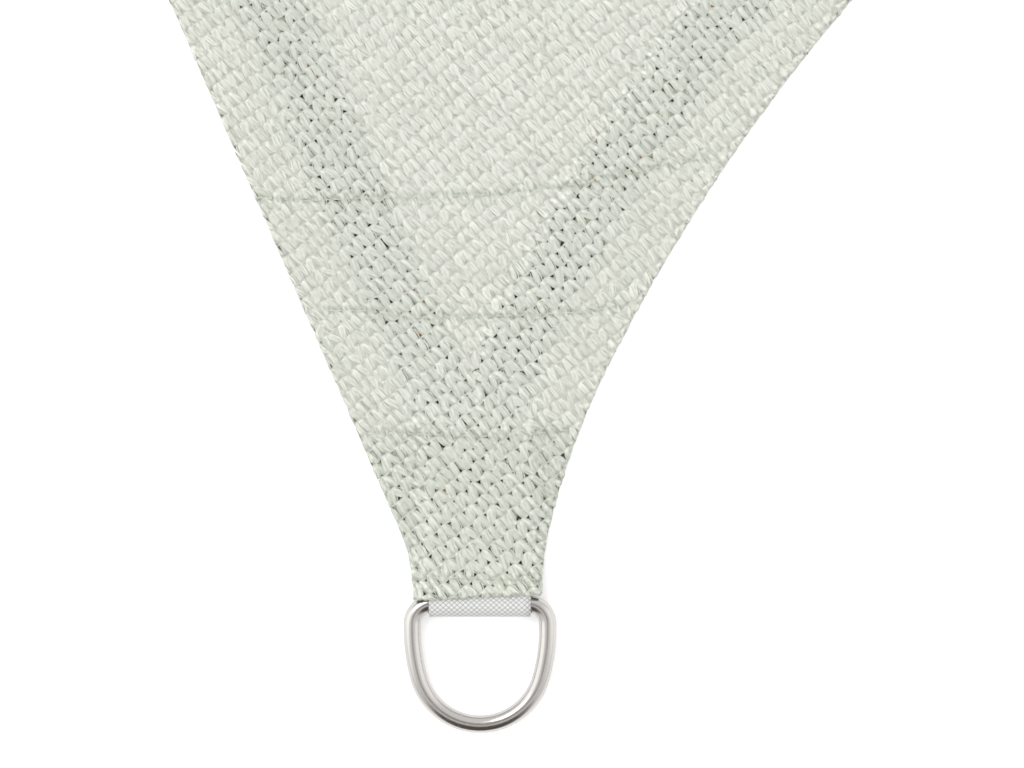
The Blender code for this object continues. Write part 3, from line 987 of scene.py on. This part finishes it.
def stitches(surface, finish):
    """The thread of every sewn line, in all four corners, as short stitches with a gap between them."""
    bm = bmesh.new()
    for corner in range(CORNERS):
        for line in SEWN_LINES:
            for (a0, c0), (a1, c1) in zip(line, line[1:]):
                start, end = Vector((a0, c0, 0)), Vector((a1, c1, 0))
                ahead = (end - start).normalized()
                aside = Vector((-ahead.y, ahead.x, 0))
                count = max(1, round((end - start).length / STITCH))
                for i in range(count):
                    first = start.lerp(end, i / count) + ahead * STITCH_GAP / 2
                    last = start.lerp(end, (i + 1) / count) - ahead * STITCH_GAP / 2
                    stations = []
                    for share, rise in STITCH_ARC:
                        middle = FRAMES[corner] @ first.lerp(last, share)
                        level = surface(middle.x, middle.y) + YARN_DEPTH * (corner > 0)
                        level += rise + STITCH_LIFT * (corner == 0)
                        middle.z = level
                        side = (FRAMES[corner].to_3x3() @ aside) * THREAD / 2
                        up = Vector((0, 0, THREAD / 2))
                        stations.append((middle - side, middle + up, middle + side, middle - up))
                    swept(bm, stations)
    bmesh.ops.recalc_face_normals(bm, faces=bm.faces)
    mesh = mesh_from(bm, "sewing")
    mesh.shade_smooth()
    finished("sewing", mesh, [finish])


def main():
    zones, gaps, pattern = zones_group(), gaps_group(), knit_group()
    segments = outline_segments(merged_cloth())
    cloth = sheet(segments, [knit_sheet_material(zones, gaps, pattern), backing_material(zones, gaps)])
    near = segments[in_tail(segments[:, :2], 0)[:, 0] < KNIT_REACH + 0.05]
    tape = yarn_material("tape", zones, CHAIN_PALE, 0.0)
    chain = yarn_material("chain", zones, CHAIN_PALE, 0.7)
    bead = yarn_material("chain_knot", zones, KNOT_PALE, 0.75)
    knit(near, tape, chain, bead)
    surface = surface_height()
    stitches(surface, thread_material())
    wire, webbing = ring_material(), webbing_material()

    def top_of(along):
        place = FRAMES[0] @ Vector((max(along, CLOTH_FROM), 0, 0))
        return surface(place.x, place.y) + YARN_DEPTH

    for corner in range(CORNERS):
        d_ring(corner, wire)
        webbing_tab(corner, top_of, webbing)


# ---------------------------------------------------------------- floor, light and camera


def floor():
    bm = bmesh.new()
    bmesh.ops.create_grid(bm, x_segments=1, y_segments=1, size=40.0)
    bmesh.ops.translate(bm, verts=bm.verts, vec=(0, 0, -0.0002))
    mesh = mesh_from(bm, "floor")
    made, _, shader = new_material("pale_floor")
    shader.inputs["Base Color"].default_value = (0.93, 0.93, 0.93, 1.0)
    shader.inputs["Roughness"].default_value = 0.9
    shader.inputs["Emission Color"].default_value = (1.0, 1.0, 1.0, 1.0)
    shader.inputs["Emission Strength"].default_value = FLOOR_GLOW
    mesh.materials.append(made)
    plane = bpy.data.objects.new("floor", mesh)
    bpy.context.scene.collection.objects.link(plane)


def key_light(way, power, spread_degrees):
    data = bpy.data.lights.new("key", "SUN")
    data.energy = power
    data.angle = math.radians(spread_degrees)
    lamp = bpy.data.objects.new("key", data)
    bpy.context.scene.collection.objects.link(lamp)
    lamp.rotation_euler = (FRAMES[0].to_3x3() @ Vector(way)).to_track_quat("Z", "Y").to_euler()


def sky_zone(tree, direction, way, inner, outer):
    """1 within inner degrees of a way, 0 beyond outer."""
    dot = tree.nodes.new("ShaderNodeVectorMath")
    dot.operation = "DOT_PRODUCT"
    tree.links.new(direction, dot.inputs[0])
    dot.inputs[1].default_value = Vector(way).normalized()
    low, high = (math.cos(math.radians(angle)) for angle in (outer, inner))
    return add_range(tree, dot.outputs["Value"], low, high)


def world():
    """A white studio with the dark of the room overhead and behind the lower end, for the wire to mirror."""
    made = bpy.data.worlds.new("studio")
    bpy.context.scene.world = made
    made.use_nodes = True
    tree = made.node_tree
    background = tree.nodes["Background"]
    direction = tree.nodes.new("ShaderNodeTexCoord").outputs["Generated"]
    up_tail = FRAMES[0].to_3x3() @ Vector((1, 0, 0))
    overhead = sky_zone(tree, direction, Vector((0, 0, 1)) + 0.06 * up_tail, 10, 20)
    below = sky_zone(tree, direction, Vector((0, 0, 0.62)) - up_tail, 24, 42)
    colour = ROOM_LIGHT
    for side, light in BOX_LIGHTS:
        aside = FRAMES[0].to_3x3() @ Vector((0.15, side, 0))
        box = sky_zone(tree, direction, Vector((0, 0, 0.55)) + aside, 14, 36)
        colour = add_mix(tree, box, colour, light)
    rays = tree.nodes.new("ShaderNodeLightPath").outputs
    mirrored = add_mix(tree, overhead, colour, OVERHEAD_DARK)
    mirrored = add_mix(tree, below, mirrored, ROOM_DARK)
    colour = add_mix(tree, rays["Is Glossy Ray"], colour, mirrored)
    colour = add_mix(tree, rays["Is Camera Ray"], colour, (1.0, 1.0, 1.0))
    tree.links.new(colour, background.inputs["Color"])
    background.inputs["Strength"].default_value = ROOM_STRENGTH


def camera():
    data = bpy.data.cameras.new("camera")
    data.lens = LENS
    data.sensor_width = 36.0
    data.clip_start = 0.01
    data.clip_end = 200.0
    made = bpy.data.objects.new("camera", data)
    bpy.context.scene.collection.objects.link(made)
    aim = FRAMES[0] @ Vector((*PICTURE_MIDDLE, 0.003))
    distance = PICTURE_WIDTH * LENS / data.sensor_width
    made.location = aim + Vector((0, 0, distance))
    heading = FRAMES[0].to_euler().z
    made.rotation_euler = (0.0, 0.0, heading - math.pi / 2)
    bpy.context.scene.camera = made


floor()
world()
camera()
main()
key_light((0.75, 0.65, 1.3), KEY_POWER, 30)
bpy.context.scene.view_settings.view_transform = "Standard"
bpy.context.scene.view_settings.look = "None"
